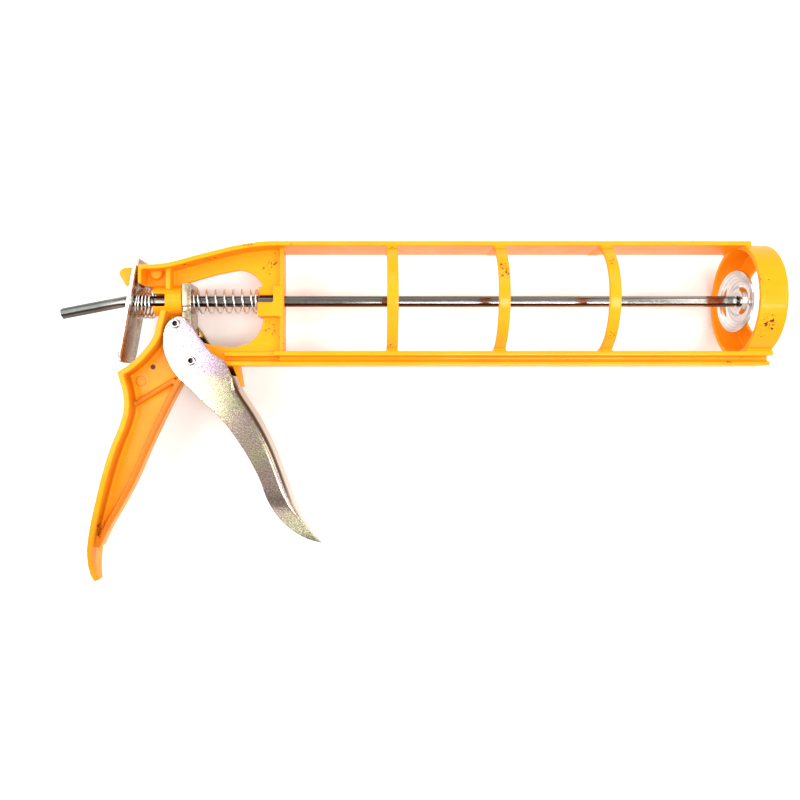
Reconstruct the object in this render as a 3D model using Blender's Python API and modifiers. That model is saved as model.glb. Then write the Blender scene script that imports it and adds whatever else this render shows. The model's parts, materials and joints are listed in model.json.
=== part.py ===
"""A skeleton caulking gun lying on its side: +X is forward along the push rod, +Y is the side away
from the handle, +Z is up. Lengths below are in millimetres, measured from the point where the rod's
axis meets the front of the back wall, and LYING moves that point so that the gun stands on z = 0
with its bounding box centred."""

import math

import bmesh
import bpy
from mathutils import Matrix

MM = 0.001

# ---- overall
LYING = (-64.29, 56.752, 28.0)
FLANGE_HALF = 13.2
THROUGH = 15.0

# ---- cartridge bay
RAIL_IN, RAIL_OUT = 25.9, 28.2
RAIL_FRONT = 230.6
LOWER_RAIL_REAR, LOWER_RAIL_RISE, LOWER_RAIL_FRONT = -30.0, -4.2, 241.2
LOWER_RAIL_LOW = 5.5
BEAM_Y = (-32.8, -30.7)
BEAM_HALF = 8.0
BEAM_REAR, BEAM_FRONT = -31.0, 242.2
BEAM_CORE_FRONT, BEAM_CORE_HALF = 241.6, 6.2
BEAM_WEB_HALF = 1.3
HOOP_IN, HOOP_OUT = 25.75, 28.0
HOOP_X = (54.0, 107.0, 159.5)
HOOP_WIDTH = 5.5
HOOP_REACH = 104
STRAP_IN, STRAP_FAR = 25.4, -12.8
RING_REAR, RING_FRONT = 228.0, 241.6
RING_CHAMFER = 0.8
LIP_THICK, LIP_IN = 2.0, 16.6
WALL_THICK, WALL_HALF, WALL_REACH = 2.1, 5.5, 27.2

# ---- rear housing and handle. A point (x, y) is smooth and (x, y, 0) is a corner
WEB_HALF = 1.5
TOP_THICK = 2.3
TOP_FLANGE = [
    (RAIL_FRONT, 27.05, 0), (-1.5, 27.05, 0), (-9.5, 26.8), (-21, 25.2), (-41, 20.4), (-59, 16.0),
    (-70.6, 15.5, 0)]
FRONT_FLANGE = [
    (-50.5, -36.5, 0), (-55.3, -45.0), (-62.1, -58.5), (-69.0, -73.2), (-76.9, -91.2), (-83.3, -103.3),
    (-89.6, -114.5), (-94.0, -123.8, 0)]
REAR_FLANGE = [
    (-58.4, -5.5, 0), (-60.4, -13.0), (-61.9, -19.0), (-67.3, -26.7), (-74.4, -33.6), (-79.6, -37.0, 0),
    (-77.0, -46.5), (-76.7, -55.0), (-78.4, -62.0), (-83.0, -73.5), (-87.5, -87.7), (-91.1, -101.4),
    (-94.2, -113.8), (-95.8, -121.8), (-96.4, -128.5), (-96.2, -134.5), (-95.4, -139.0), (-94.6, -141.2, 0)]
HANDLE_THICK = 2.8
FRONT_HALF = 5.0
TONGUE_TOP, TONGUE_LENGTH, TONGUE_POWER = -80.0, 62.2, 1.8
TONGUE_CUTS = (-80, -95, -107, -117, -124, -129, -133, -136, -138.5, -140.2)
HOUSING = [
    (-70.6, 15.5, 0), (-59, 16.0, 0), (-41, 20.4, 0), (-21, 25.2, 0), (-9.5, 26.8, 0), (-1, 27.0, 0),
    (-1, -32.2, 0), (-31, -32.2, 0), (-40, -36.5, 0), (-49.6, -36.5, 0), (-55.3, -45.0, 0),
    (-62.1, -58.5, 0), (-69.0, -73.2, 0), (-76.9, -91.2, 0), (-83.3, -103.3, 0), (-89.6, -114.5, 0),
    (-94.0, -123.8, 0), (-95.6, -121.8, 0), (-94.2, -113.8, 0), (-91.1, -101.4, 0), (-87.5, -87.7, 0),
    (-83.0, -73.5, 0), (-78.4, -62.0, 0), (-76.8, -52.0, 0), (-78.3, -42.5, 0), (-79.4, -37.0, 0),
    (-74.3, -33.8, 0), (-67.4, -26.8, 0), (-61.8, -18.2, 0), (-59.6, -8.0, 0), (-59.0, 0.0, 0),
    (-60.0, 7.3, 0), (-70.4, 7.3, 0)]
WINDOW = [
    (-50.6, 8.8, 0), (-27.7, 14.8), (-20.6, 15.4), (-12.9, 10.4), (-10.4, 1.0), (-10.6, -8.0),
    (-14.6, -18.0), (-22.5, -22.7), (-35.0, -22.7, 0), (-42.0, -20.8, 0), (-52.0, -20.8),
    (-58.6, -16.5), (-57.6, -9.0, 0), (-50.6, -7.0, 0)]
BRACE = [(-77.2, -53.4, 0), (-54.6, -39.6, 0)]
BRACE_THICK, BRACE_HALF = 2.4, 4.6
STOP_LUG = [(-26.3, -32.6, 0), (-22.7, -32.6, 0), (-20.9, -43.6, 0), (-21.7, -43.6, 0)]
STOP_HALF = 4.0
HOOK = [
    (-69.8, 16.2, 0), (-77.5, 16.8), (-82.0, 15.9), (-83.2, 14.0), (-81.6, 10.6), (-79.7, 7.6),
    (-77.5, 6.6, 0), (-76.3, 11.9, 0), (-69.8, 11.9, 0)]
HOOK_HALF = 3.5
REAR_WALL = (-71.1, -69.3, 7.3, 15.8)
BARREL_REAR, BARREL_FRONT, BARREL_RADIUS = -59.4, -50.9, 7.6
SADDLE_REAR, SADDLE_FRONT, SADDLE_RADIUS, SADDLE_SLOT = -65.6, -58.8, 7.5, 3.2
UPRIGHT = (-58.4, -56.0, 5.0, 16.6, -9.0, 9.0)
OVAL_AT, OVAL_RADIUS, OVAL_HALF = (-64.2, 13.6), 3.0, 5.5
GUIDE = (-13.2, -1.0, -8.2, 7.2, -6.0, 6.0)
GUIDE_POCKET = (-13.5, -5.4, -1.0, 7.6, WEB_HALF, 7.0)
BOSS_RADIUS, BOSS_HALF = 6.0, 9.4

# ---- rod and piston
ROD_FLATS = 5.0
ROD_BORE, ROD_BORE_SPAN = 3.2, (-68.0, 3.0)
ROD_FRONT = 228.0
ROD_BEND_X, ROD_BEND_RADIUS, ROD_BEND_DEG = -80.0, 9.0, 11.0
ROD_TAIL = 32.0
NECK_RADIUS, NECK_LENGTH = 1.7, 3.6
RIVET = [(3.0, 0.0), (2.6, 0.7), (1.2, 1.2), (0.0, 1.2)]
PISTON_REAR, PISTON_HOLE, PISTON_TILT_DEG = 228.65, 2.05, 8.0
DISC_PROFILE = [
    (5.4, 0.0), (6.4, 0.3), (7.6, 1.6), (8.8, 2.0), (10.6, 1.7), (12.8, 0.5), (14.4, -0.3), (15.4, -0.7),
    (15.8, 0.1), (14.7, 0.8), (12.9, 1.6), (10.7, 2.7), (8.7, 3.0), (7.0, 2.5), (6.0, 1.2), (5.4, 1.0)]
DISC_THICK = 1.0
WASHER_GAP, WASHER_OUT, WASHER_THICK = 0.25, 5.0, 0.8

# ---- plates
THRUST = (-50.3, -46.0, -17.0, 8.2, -8.4, 8.4)
THRUST_BORE = 3.15
THRUST_NOTCH_Y, THRUST_NOTCH_DEEP = (-5.8, -3.3), 1.1
RELEASE_HANG = (-72.84, 13.7)
RELEASE_LEAN_DEG = 10.2
RELEASE_TOP, RELEASE_BOTTOM = 6.6, -45.6
RELEASE_HALF, RELEASE_THICK = 13.8, 1.5
RELEASE_ROUND = 6.5
RELEASE_BORE = 3.35
RELEASE_SLOT = (-5.6, 5.6, -2.6, 3.7)

# ---- springs. A lean tilts the rear coils to lie along the release plate
RETURN_SPRING = dict(x0=-45.7, x1=-13.5, radius=6.0, wire=0.45, turns=8.3, y=0.0, lean=0.0)
RELEASE_SPRING = dict(x0=-74.4, x1=-65.9, radius=7.1, wire=0.45, turns=5.0, y=-1.2, lean=0.18)
COIL_STEPS = 14
COIL_START = 0.6
END_COIL, END_PITCH = 0.8, 2.1

# ---- trigger
PIVOT = (-45.1, -30.6)
PUSHER = (-52.9, -12.3)
TRIGGER_HALF, TRIGGER_SHEET = 11.0, 1.2
TRIGGER_REAR = [
    (-50.5, -8.6), (-55.4, -10.4), (-58.3, -14.4), (-59.2, -20.0), (-58.6, -26.0), (-56.0, -32.6),
    (-52.6, -38.0), (-47.2, -43.3), (-40.8, -49.5), (-30.4, -59.6), (-22.5, -69.8), (-15.6, -81.1),
    (-11.0, -90.4), (-7.6, -99.8), (-2.3, -108.6), (3.6, -114.7), (11.0, -119.6), (18.9, -122.2, 0)]
TRIGGER_FRONT = [
    (13.6, -116.4), (6.2, -104.6), (2.0, -94.0), (-2.2, -82.6), (-7.2, -70.4), (-14.3, -57.4),
    (-21.8, -45.8), (-25.6, -37.4), (-27.2, -33.6), (-29.6, -30.3), (-33.6, -28.0), (-40.8, -19.6),
    (-45.6, -12.6)]
SPINE_TOP = -36.0
SPINE_ROUND, SPINE_ROUND_SPAN = 3.2, (-112.0, -100.0, -44.0, -39.0)
SPINE_INSET = (1.10, 0.46)
CHANNEL_REAR, CHANNEL_FLOOR = -80.0, -123.0
TAPER_FROM, TAPER_TIP_HALF, TAPER_CUTS = -90.0, 3.0, (-90, -97, -103, -108, -112, -116, -119)
PIN_RADIUS, PIN_BORE, PIN_HALF = 2.0, 1.25, 13.0
SLEEVE_RADIUS, SLEEVE_BORE, SLEEVE_HALF = 2.35, 2.12, 9.3

COLOURS = {
    "orange_plastic": ((0.95, 0.42, 0.02, 1), 0.35, 0.0),
    "zinc_steel": ((0.62, 0.60, 0.52, 1), 0.35, 1.0),
    "bright_steel": ((0.75, 0.75, 0.76, 1), 0.2, 1.0),
    "spring_steel": ((0.55, 0.55, 0.55, 1), 0.3, 1.0),
    "chrome": ((0.8, 0.8, 0.82, 1), 0.08, 1.0),
}


def clear():
    for thing in list(bpy.data.objects):
        bpy.data.objects.remove(thing, do_unlink=True)


def collection(name, hidden=False):
    made = bpy.data.collections.new(name)
    bpy.context.scene.collection.children.link(made)
    made.hide_render = hidden
    return made


def material(slot, name):
    colour, roughness, metallic = COLOURS[slot]
    made = bpy.data.materials.new(name)
    made.use_nodes = True
    shader = made.node_tree.nodes["Principled BSDF"]
    shader.inputs["Base Color"].default_value = colour
    shader.inputs["Roughness"].default_value = roughness
    shader.inputs["Metallic"].default_value = metallic
    made.diffuse_color = colour
    return made


clear()
PARTS = collection("caulking_gun")
CUTTERS = collection("cutters", hidden=True)
ROOT = bpy.data.objects.new("caulking_gun_root", None)
PARTS.objects.link(ROOT)
ROOT.location = [v * MM for v in LYING]


def tool(name, mesh):
    """A working shape, which later joins a piece or is cut from one."""
    made = bpy.data.objects.new(name, mesh)
    CUTTERS.objects.link(made)
    made.display_type = "WIRE"
    made.hide_render = True
    return made


def baked(thing):
    """The object's evaluated shape as a plain mesh with closed seams and outward faces."""
    bpy.context.view_layer.update()
    depsgraph = bpy.context.evaluated_depsgraph_get()
    mesh = bpy.data.meshes.new_from_object(thing.evaluated_get(depsgraph), depsgraph=depsgraph)
    shape = bmesh.new()
    shape.from_mesh(mesh)
    bmesh.ops.remove_doubles(shape, verts=shape.verts, dist=0.00001)
    bmesh.ops.recalc_face_normals(shape, faces=shape.faces)
    shape.to_mesh(mesh)
    shape.free()
    return mesh


def settle(thing):
    """Replaces the object and its modifiers with a plain mesh object of the same name."""
    mesh, name = baked(thing), thing.name
    bpy.data.objects.remove(thing, do_unlink=True)
    return tool(name, mesh)


def spline(points, closed, steps=4):
    """A flat curve in millimetres. A point (x, y) is smooth and (x, y, 0) is a corner."""
    curve = bpy.data.curves.new("curve", "CURVE")
    curve.dimensions = "2D"
    curve.resolution_u = curve.render_resolution_u = steps
    line = curve.splines.new("BEZIER")
    line.bezier_points.add(len(points) - 1)
    line.use_cyclic_u = closed
    for knot, point in zip(line.bezier_points, points):
        knot.co = (point[0] * MM, point[1] * MM, 0)
        kind = "VECTOR" if len(point) == 3 else "AUTO"
        knot.handle_left_type = knot.handle_right_type = kind
    return curve


def bevel(thing, width, segments=1, angle=40):
    edge = thing.modifiers.new("edge", "BEVEL")
    edge.width, edge.segments = width * MM, segments
    edge.limit_method, edge.angle_limit = "ANGLE", math.radians(angle)
    edge.use_clamp_overlap = True
    return settle(thing)


def plate(name, outline, z0, z1, steps=4):
    """A flat outline between two heights."""
    curve = spline(outline, True, steps)
    curve.fill_mode = "BOTH"
    curve.extrude = (z1 - z0) / 2 * MM
    thing = settle(tool(name, curve))
    thing.data.transform(Matrix.Translation((0, 0, (z0 + z1) / 2 * MM)))
    return thing


def wall(name, path, thick, half, steps=4):
    """A strip that stands along a line and is centred on it, between heights -half and +half."""
    curve = spline(path, False, steps)
    curve.extrude = half * MM
    thing = settle(tool(name, curve))
    shell = thing.modifiers.new("thickness", "SOLIDIFY")
    shell.thickness, shell.offset, shell.use_even_offset = thick * MM, 0, True
    return settle(thing)


def block(name, x0, x1, y0, y1, z0, z1):
    mesh = bpy.data.meshes.new(name)
    shape = bmesh.new()
    bmesh.ops.create_cube(shape, size=1)
    size = Matrix.Diagonal(((x1 - x0) * MM, (y1 - y0) * MM, (z1 - z0) * MM, 1))
    middle = Matrix.Translation(((x0 + x1) / 2 * MM, (y0 + y1) / 2 * MM, (z0 + z1) / 2 * MM))
    shape.transform(middle @ size)
    shape.to_mesh(mesh)
    shape.free()
    return tool(name, mesh)


def rod(name, centre, radius, start, end, along="X", sides=32):
    """A cylinder along X or Z. centre is (y, z) along X and (x, y) along Z."""
    mesh = bpy.data.meshes.new(name)
    shape = bmesh.new()
    bmesh.ops.create_cone(shape, cap_ends=True, segments=sides, radius1=radius * MM, radius2=radius * MM,
                          depth=(end - start) * MM)
    middle = (start + end) / 2
    if along == "X":
        turn, shift = Matrix.Rotation(math.pi / 2, 4, "Y"), (middle, *centre)
    else:
        turn, shift = Matrix.Identity(4), (*centre, middle)
    shape.transform(Matrix.Translation([v * MM for v in shift]) @ turn)
    shape.to_mesh(mesh)
    shape.free()
    return tool(name, mesh)


def turned(name, profile, sides=48, start=0.0, sweep=360.0):
    """A profile of (radius, x) points turned about the X axis. A full turn closes on itself."""
    mesh = bpy.data.meshes.new(name)
    shape = bmesh.new()
    knots = [shape.verts.new((r * MM, 0, x * MM)) for r, x in profile]
    for a, b in zip(knots, knots[1:] + knots[:1]):
        if a.co.x > 0 or b.co.x > 0:
            shape.edges.new((a, b))
    full = sweep == 360.0
    turn = Matrix.Rotation(math.radians(start), 3, "Z")
    bmesh.ops.rotate(shape, verts=shape.verts, matrix=turn)
    first = list(shape.edges)
    done = bmesh.ops.spin(shape, geom=list(shape.verts) + first, cent=(0, 0, 0), axis=(0, 0, 1),
                          angle=math.radians(sweep), steps=sides, use_merge=full, use_duplicate=False)
    if not full:
        last = [g for g in done["geom_last"] if isinstance(g, bmesh.types.BMEdge)]
        bmesh.ops.contextual_create(shape, geom=first)
        bmesh.ops.contextual_create(shape, geom=last)
    bmesh.ops.remove_doubles(shape, verts=shape.verts, dist=0.000001)
    bmesh.ops.recalc_face_normals(shape, faces=shape.faces)
    shape.transform(Matrix(((0, 0, 1, 0), (1, 0, 0, 0), (0, 1, 0, 0), (0, 0, 0, 1))))
    shape.to_mesh(mesh)
    shape.free()
    return tool(name, mesh)


def sliced(shape, point, normal):
    """Adds a loop of edges where a plane crosses the shape."""
    bmesh.ops.bisect_plane(shape, geom=list(shape.verts) + list(shape.edges) + list(shape.faces),
                           plane_co=[v * MM for v in point], plane_no=normal, dist=0.0000001)


def narrowed(thing, cuts, law):
    """Multiplies each point's height by a factor that depends on its y, after cutting loops at some y."""
    shape = bmesh.new()
    shape.from_mesh(thing.data)
    for y in cuts:
        sliced(shape, (0, y, 0), (0, 1, 0))
    for corner in shape.verts:
        corner.co.z *= law(corner.co.y / MM)
    shape.to_mesh(thing.data)
    shape.free()
    return thing


def combine(thing, others, operation):
    for other in others:
        join = thing.modifiers.new(operation, "BOOLEAN")
        join.operation, join.solver, join.object = operation, "EXACT", other
    result = settle(thing)
    for other in others:
        bpy.data.objects.remove(other, do_unlink=True)
    return result


def piece(name, thing, slot, origin=(0, 0, 0), angle=35):
    """Makes the working shape a named piece of the gun, with its origin at a point in millimetres."""
    mesh = thing.data
    bpy.data.objects.remove(thing, do_unlink=True)
    mesh.transform(Matrix.Translation([-v * MM for v in origin]))
    mesh.name = name
    made = bpy.data.objects.new(name, mesh)
    PARTS.objects.link(made)
    made.parent = ROOT
    made.location = [v * MM for v in origin]
    mesh.materials.clear()
    mesh.materials.append(material(slot, name))
    mesh.shade_smooth()
    mesh.set_sharp_from_angle(angle=math.radians(angle))
    return made


# ---------------------------------------------------------------- frame, one moulding
def hoop(x):
    """A half hoop on the upper side, with its ends lapping round the rails."""
    rear, front = x - HOOP_WIDTH / 2, x + HOOP_WIDTH / 2
    profile = [(HOOP_IN, rear), (HOOP_OUT, rear), (HOOP_OUT, front), (HOOP_IN, front)]
    return turned("hoop", profile, sides=26, start=90 - HOOP_REACH, sweep=2 * HOOP_REACH)


def strap(x, side):
    """A hoop's end, which runs on across the inner face of a rail."""
    rear, front = x - HOOP_WIDTH / 2, x + HOOP_WIDTH / 2
    inner, outer = sorted((side * STRAP_IN, side * (RAIL_IN + 0.5)))
    return block("strap", rear, front, inner, outer, STRAP_FAR, 1.0)


def tongue_width(y):
    """The rear flange narrows down the handle to a round tongue at its tip."""
    t = min(max((TONGUE_TOP - y) / TONGUE_LENGTH, 0), 1)
    return math.sqrt(1 - 0.98 * t ** TONGUE_POWER)


def frame():
    web = plate("web", HOUSING, -WEB_HALF, WEB_HALF)
    web = combine(web, [plate("window", WINDOW, -2 * WEB_HALF, 2 * WEB_HALF)], "DIFFERENCE")
    lip, chamfer = RING_FRONT - LIP_THICK, RING_CHAMFER
    ring_profile = [
        (HOOP_IN, RING_REAR), (HOOP_OUT, RING_REAR), (HOOP_OUT, RING_FRONT - chamfer),
        (HOOP_OUT - chamfer, RING_FRONT), (LIP_IN, RING_FRONT), (LIP_IN, lip), (HOOP_IN, lip)]
    rear_flange = wall("rear_flange", REAR_FLANGE, HANDLE_THICK, FLANGE_HALF)
    pieces = [
        wall("top_flange", TOP_FLANGE, TOP_THICK, FLANGE_HALF),
        block("lower_strip", LOWER_RAIL_REAR, LOWER_RAIL_RISE + 1, -RAIL_OUT, -RAIL_IN, -LOWER_RAIL_LOW,
              LOWER_RAIL_LOW),
        block("lower_rail", LOWER_RAIL_RISE, LOWER_RAIL_FRONT, -RAIL_OUT, -RAIL_IN, -FLANGE_HALF,
              FLANGE_HALF),
        block("beam_web", BEAM_REAR + 1, 1, BEAM_Y[0] + 0.5, -RAIL_IN - 0.5, -BEAM_WEB_HALF, BEAM_WEB_HALF),
        block("beam_core", -WALL_THICK, BEAM_CORE_FRONT, BEAM_Y[0] + 0.5, -RAIL_IN - 0.5, -BEAM_CORE_HALF,
              BEAM_CORE_HALF),
        block("beam_flange", BEAM_REAR, BEAM_FRONT, *BEAM_Y, -BEAM_HALF, BEAM_HALF),
        block("back_wall", -WALL_THICK, 0, -WALL_REACH, WALL_REACH, -WALL_HALF, WALL_HALF),
        narrowed(rear_flange, TONGUE_CUTS, tongue_width),
        wall("front_flange", FRONT_FLANGE, HANDLE_THICK, FRONT_HALF),
        wall("brace", BRACE, BRACE_THICK, BRACE_HALF),
        plate("stop_lug", STOP_LUG, -STOP_HALF, STOP_HALF),
        plate("hook", HOOK, -HOOK_HALF, HOOK_HALF),
        block("rear_wall", *REAR_WALL, -FLANGE_HALF, FLANGE_HALF),
        rod("barrel", (0, 0), BARREL_RADIUS, BARREL_REAR, BARREL_FRONT),
        rod("saddle", (0, 0), SADDLE_RADIUS, SADDLE_REAR, SADDLE_FRONT, sides=28),
        block("upright", *UPRIGHT),
        rod("oval", OVAL_AT, OVAL_RADIUS, -OVAL_HALF, OVAL_HALF, "Z", 16),
        rod("pivot_boss", PIVOT, BOSS_RADIUS, -BOSS_HALF, BOSS_HALF, "Z", 32),
        block("guide", *GUIDE),
        turned("ring", ring_profile, sides=48),
    ]
    pieces += [hoop(x) for x in HOOP_X]
    pieces += [strap(x, side) for x in HOOP_X for side in (-1, 1)]
    body = combine(web, pieces, "UNION")
    cutters = [
        rod("rod_bore", (0, 0), ROD_BORE, *ROD_BORE_SPAN, sides=24),
        rod("pivot_bore", PIVOT, PIN_RADIUS + 0.15, -THROUGH, THROUGH, "Z", 24),
        block("saddle_slot", SADDLE_REAR - 1, BARREL_REAR, -SADDLE_SLOT, SADDLE_SLOT, 0, THROUGH),
        block("guide_pocket", *GUIDE_POCKET),
    ]
    return piece("frame", combine(body, cutters, "DIFFERENCE"), "orange_plastic")


# ---------------------------------------------------------------- rod and piston
def push_rod():
    """A hexagonal bar with its tail bent down and its front end turned down and peened over the piston."""
    corner = ROD_FLATS / 2 / math.cos(math.pi / 6)
    section = bpy.data.curves.new("hexagon", "CURVE")
    section.dimensions = "2D"
    ring = section.splines.new("POLY")
    ring.points.add(5)
    ring.use_cyclic_u = True
    for k, point in enumerate(ring.points):
        turn = k * math.pi / 3
        point.co = (corner * math.cos(turn) * MM, corner * math.sin(turn) * MM, 0, 1)
    section = tool("hexagon", section)
    bend = math.radians(ROD_BEND_DEG)
    path = [(ROD_FRONT, 0), (ROD_BEND_X, 0)]
    for k in range(1, 5):
        a = bend * k / 4
        path.append((ROD_BEND_X - ROD_BEND_RADIUS * math.sin(a), -ROD_BEND_RADIUS * (1 - math.cos(a))))
    x, y = path[-1]
    path.append((x - ROD_TAIL * math.cos(bend), y - ROD_TAIL * math.sin(bend)))
    curve = bpy.data.curves.new("bar", "CURVE")
    curve.dimensions = "3D"
    line = curve.splines.new("POLY")
    line.points.add(len(path) - 1)
    for point, (px, py) in zip(line.points, path):
        point.co = (px * MM, py * MM, 0, 1)
    curve.bevel_mode, curve.bevel_object, curve.use_fill_caps = "OBJECT", section, True
    bar = bevel(settle(tool("bar", curve)), 0.25, angle=70)
    bpy.data.objects.remove(section, do_unlink=True)
    end = ROD_FRONT + NECK_LENGTH
    neck = [(0, ROD_FRONT - 1), (NECK_RADIUS, ROD_FRONT - 1), (NECK_RADIUS, end)]
    neck += [(radius, end + rise) for radius, rise in RIVET]
    return piece("push_rod", combine(bar, [turned("neck", neck, 24)], "UNION"), "chrome", angle=25)


def piston():
    """A dished disc and a washer, loose on the rod's neck and leaning a little."""
    x = PISTON_REAR
    hub = Matrix.Translation((x * MM, 0, 0))
    tilt = hub @ Matrix.Rotation(math.radians(PISTON_TILT_DEG), 4, "Y") @ hub.inverted()
    profile = [(PISTON_HOLE, x)] + [(r, x + rise) for r, rise in DISC_PROFILE]
    profile.append((PISTON_HOLE, x + DISC_THICK))
    disc = turned("disc", profile, 40)
    disc.data.transform(tilt)
    piece("piston_disc", disc, "chrome")
    rear = x + DISC_THICK + WASHER_GAP
    front = rear + WASHER_THICK
    profile = [(PISTON_HOLE, rear), (WASHER_OUT, rear), (WASHER_OUT, front), (PISTON_HOLE, front)]
    washer = turned("washer", profile, 28)
    washer.data.transform(tilt)
    piece("piston_washer", washer, "bright_steel")


# ---------------------------------------------------------------- plates
def thrust_plate():
    rear, front, low, high, far, near = THRUST
    slab = bevel(block("thrust", *THRUST), 0.4)
    depth = THRUST_NOTCH_DEEP
    cutters = [
        rod("thrust_bore", (0, 0), THRUST_BORE, rear - 1, front + 1, sides=24),
        block("near_notch", rear - 1, front + 1, *THRUST_NOTCH_Y, near - depth, near + 1),
        block("far_notch", rear - 1, front + 1, *THRUST_NOTCH_Y, far - 1, far + depth),
    ]
    piece("thrust_plate", combine(slab, cutters, "DIFFERENCE"), "bright_steel")


def release_plate():
    """A pressed plate with a round lower end, a slot for the hook and a bore for the rod."""
    half, thick, rounding = RELEASE_HALF, RELEASE_THICK / 2, RELEASE_ROUND
    lean = math.radians(RELEASE_LEAN_DEG)
    outline = [(-half, RELEASE_TOP, 0), (half, RELEASE_TOP, 0)]
    for k in range(7):
        a = math.pi * k / 6
        side = half - rounding if k < 3 else rounding - half if k > 3 else 0
        outline.append((side + rounding * math.cos(a), RELEASE_BOTTOM + rounding * (1 - math.sin(a)), 0))
    sheet = plate("release", outline, -thick, thick)
    slot = block("slot", *RELEASE_SLOT, -2 * thick, 2 * thick)
    bore = rod("bore", (0, -RELEASE_HANG[1] / math.cos(lean)), RELEASE_BORE, -2 * thick, 2 * thick, "Z", 24)
    sheet = combine(sheet, [slot, bore], "DIFFERENCE")
    stand = Matrix(((0, 0, 1, 0), (0, 1, 0, 0), (-1, 0, 0, 0), (0, 0, 0, 1)))
    hang = Matrix.Translation((RELEASE_HANG[0] * MM, RELEASE_HANG[1] * MM, 0))
    sheet.data.transform(hang @ Matrix.Rotation(-lean, 4, "Z") @ stand)
    piece("release_plate", sheet, "bright_steel", (*RELEASE_HANG, 0))


# ---------------------------------------------------------------- springs
def spring(name, x0, x1, radius, wire, turns, y, lean):
    """A compression spring along X with closed end coils."""
    curve = bpy.data.curves.new(name, "CURVE")
    curve.dimensions = "3D"
    steps = int(turns * COIL_STEPS)
    line = curve.splines.new("POLY")
    line.points.add(steps)
    pitch = wire * END_PITCH
    first, last = x0 + wire + pitch * END_COIL, x1 - wire - pitch * END_COIL
    for k, point in enumerate(line.points):
        turn = k / steps * turns
        if turn < END_COIL:
            x = x0 + wire + pitch * turn
        elif turn > turns - END_COIL:
            x = x1 - wire - pitch * (turns - turn)
        else:
            x = first + (last - first) * (turn - END_COIL) / (turns - 2 * END_COIL)
        angle = turn * 2 * math.pi + COIL_START
        across = radius * math.cos(angle)
        x += lean * across * (x1 - x) / (x1 - x0)
        point.co = (x * MM, (y + across) * MM, radius * math.sin(angle) * MM, 1)
    curve.bevel_depth, curve.bevel_resolution, curve.use_fill_caps = wire * MM, 2, True
    return piece(name, settle(tool(name, curve)), "spring_steel", (x1, y, 0), angle=60)


# ---------------------------------------------------------------- trigger
def taper(half, tip_half):
    """A narrowing from the blade's full width that grows faster towards its tip."""
    length = TAPER_FROM - TRIGGER_REAR[-1][1]

    def law(y):
        return 1 + max(0, (TAPER_FROM - y) / length) ** 2 * (tip_half / half - 1)
    return law


def rounded_spine(thing, half, radius, segments=3):
    """Rolls the blade's front edges in, as a bend of the given radius in the sheet does."""
    tip, blade, neck, head = SPINE_ROUND_SPAN
    shape = bmesh.new()
    shape.from_mesh(thing.data)
    for k in range(segments):
        height = half - radius + radius * math.sin(math.pi / 2 * k / segments)
        for z in (-height, height):
            sliced(shape, (0, 0, z), (0, 0, 1))
    shape.normal_update()
    moves = []
    for corner in shape.verts:
        rise = min((abs(corner.co.z) / MM - half + radius) / radius, 1)
        sides = [f.normal for f in corner.link_faces if abs(f.normal.z) < 0.5]
        if rise <= 0 or not sides:
            continue
        outward = sum(sides, sides[0] * 0).normalized()
        y = corner.co.y / MM
        share = min(max(min((y - tip) / (blade - tip), (head - y) / (head - neck)), 0), 1)
        if outward.x > 0.15 and share > 0:
            moves.append((corner, outward * share * radius * (1 - math.sqrt(1 - rise * rise))))
    for corner, move in moves:
        corner.co -= move * MM
    shape.to_mesh(thing.data)
    shape.free()
    return thing


def channel():
    """The trigger's head and blade, pressed as a channel that is open to the rear."""
    half, inner_half = TRIGGER_HALF, TRIGGER_HALF - TRIGGER_SHEET
    body = rounded_spine(plate("body", TRIGGER_REAR + TRIGGER_FRONT, -half, half, 3), half, SPINE_ROUND)
    body = narrowed(body, TAPER_CUTS, taper(half, TAPER_TIP_HALF))
    dx, dy = SPINE_INSET
    spine = [(x - dx, y - dy) for x, y in TRIGGER_FRONT if y < SPINE_TOP]
    foot = spine[0][0] - 2
    inner = [(*spine[0], 0)] + spine[1:-1] + [(*spine[-1], 0)]
    inner += [(0, SPINE_TOP, 0), (0, 0, 0), (CHANNEL_REAR, 0, 0), (CHANNEL_REAR, PIVOT[1] * 2, 0)]
    inner += [(TRIGGER_REAR[10][0], CHANNEL_FLOOR, 0), (foot, CHANNEL_FLOOR, 0)]
    hollow = rounded_spine(plate("hollow", inner, -inner_half, inner_half, 3), inner_half,
                           SPINE_ROUND - TRIGGER_SHEET)
    hollow = narrowed(hollow, TAPER_CUTS, taper(inner_half, TAPER_TIP_HALF - TRIGGER_SHEET))
    holes = [rod("hole", at, PIN_RADIUS + 0.02, -THROUGH, THROUGH, "Z", 24) for at in (PIVOT, PUSHER)]
    piece("trigger", combine(body, [hollow] + holes, "DIFFERENCE"), "zinc_steel", (*PIVOT, 0))


def pins():
    for name, at in (("pivot_pin", PIVOT), ("pusher_pin", PUSHER)):
        tube = rod(name, at, PIN_RADIUS, -PIN_HALF, PIN_HALF, "Z", 24)
        bore = rod("bore", at, PIN_BORE, -THROUGH, THROUGH, "Z", 20)
        piece(name, bevel(combine(tube, [bore], "DIFFERENCE"), 0.2, angle=60), "bright_steel", (*at, 0))
    sleeve = rod("sleeve", PUSHER, SLEEVE_RADIUS, -SLEEVE_HALF, SLEEVE_HALF, "Z", 24)
    bore = rod("bore", PUSHER, SLEEVE_BORE, -THROUGH, THROUGH, "Z", 24)
    piece("pusher_sleeve", combine(sleeve, [bore], "DIFFERENCE"), "bright_steel", (*PUSHER, 0))


frame()
push_rod()
piston()
thrust_plate()
release_plate()
spring("return_spring", **RETURN_SPRING)
spring("release_spring", **RELEASE_SPRING)
channel()
pins()
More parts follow.
